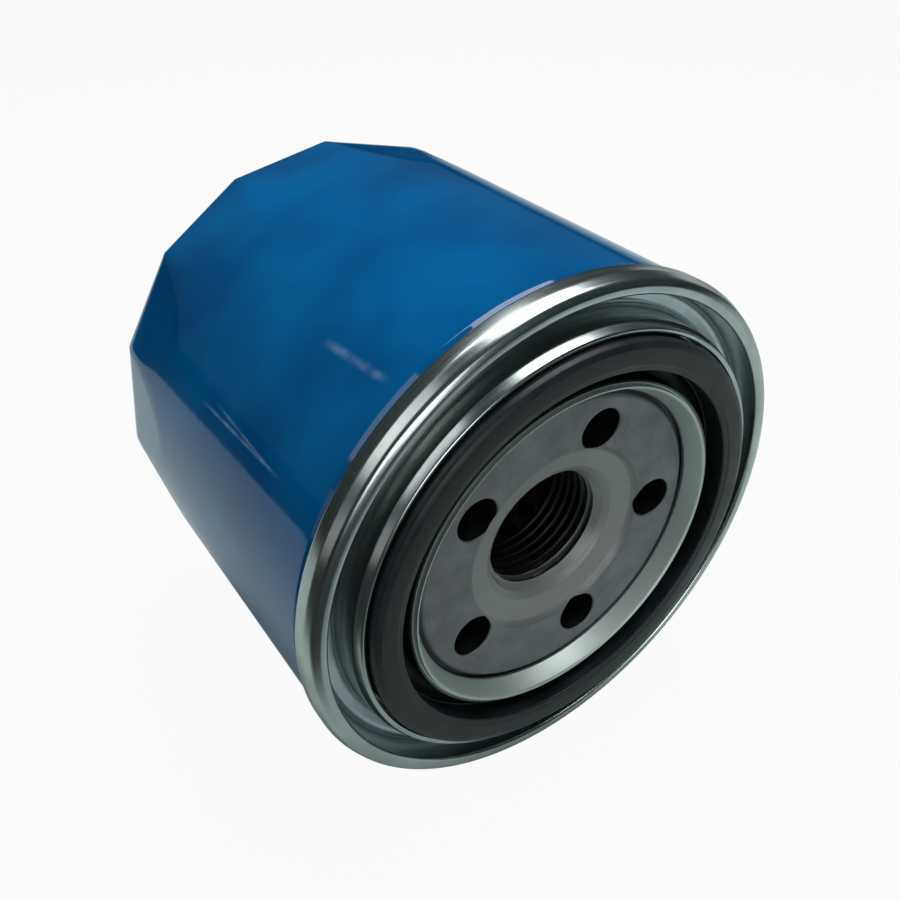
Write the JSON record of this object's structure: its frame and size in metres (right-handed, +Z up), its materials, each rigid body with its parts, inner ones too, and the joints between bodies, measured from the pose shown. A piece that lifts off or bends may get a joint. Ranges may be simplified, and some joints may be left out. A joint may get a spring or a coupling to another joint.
{
  "type": "oil filter",
  "caption": "Spin-on engine oil filter: painted can with a fluted closed end, rolled seam, rubber gasket, plate with threaded hub and inlet holes, paper element and valves inside.",
  "frame": {"origin": "on the filter's axis, in the plane of the gasket's sealing face, where the engine's filter stud passes through it", "axes": "+Y along the filter's axis from the open end with the gasket towards the closed fluted end, +Z up with the filter lying on its side, +X to the right when looking along +Y"},
  "size_m": [0.0799, 0.074, 0.08],
  "materials": {
    "blue_paint": "glossy blue paint on deep-drawn steel",
    "zinc_plate": "bright zinc plate on pressed steel",
    "bare_steel": "dull grey oiled steel",
    "black_rubber": "smooth black nitrile rubber",
    "tin_steel": "bright tin-plated sheet steel",
    "spring_steel": "drawn spring wire",
    "cream_paper": "resin-treated filter paper",
    "adhesive": "cured plastisol adhesive",
    "black_nylon": "moulded black nylon"
  },
  "bodies": {
    "housing": {"can": "blue_paint", "seaming_lid": "zinc_plate", "seam_compound": "black_rubber", "tapping_plate": "bare_steel", "sealing_gasket": "black_rubber", "element_spring": "spring_steel"},
    "element": {"outlet_end_cap": "tin_steel", "dome_end_cap": "tin_steel", "outlet_potting": "adhesive", "dome_potting": "adhesive", "pleated_media": "cream_paper", "media_seam_clip": "tin_steel", "centre_tube": "tin_steel", "bypass_cage": "tin_steel", "bypass_seal": "black_rubber", "bypass_spring": "spring_steel", "bypass_spring_seat": "tin_steel"},
    "poppet": {"bypass_poppet": "black_nylon"},
    "drainback_lip": {"anti_drainback_valve": "black_rubber"}
  },
  "joints": [
    {"name": "element_float", "type": "slide", "parent": "housing", "child": "element", "axis": [0, 1, 0], "range_m": [0, 0.0015], "stiffness_N_per_m": 3000, "springref_m": -0.012, "deforming": ["element_spring"]},
    {"name": "bypass_lift", "type": "slide", "parent": "element", "child": "poppet", "axis": [0, -1, 0], "range_m": [0, 0.0035], "stiffness_N_per_m": 1500, "springref_m": -0.008, "deforming": ["bypass_spring"]},
    {"name": "drainback_lift", "type": "slide", "parent": "housing", "child": "drainback_lip", "axis": [0, 1, 0], "range_m": [0, 0.0012], "stiffness_N_per_m": 300, "springref_m": -0.001, "deforming": ["anti_drainback_valve"]}
  ]
}
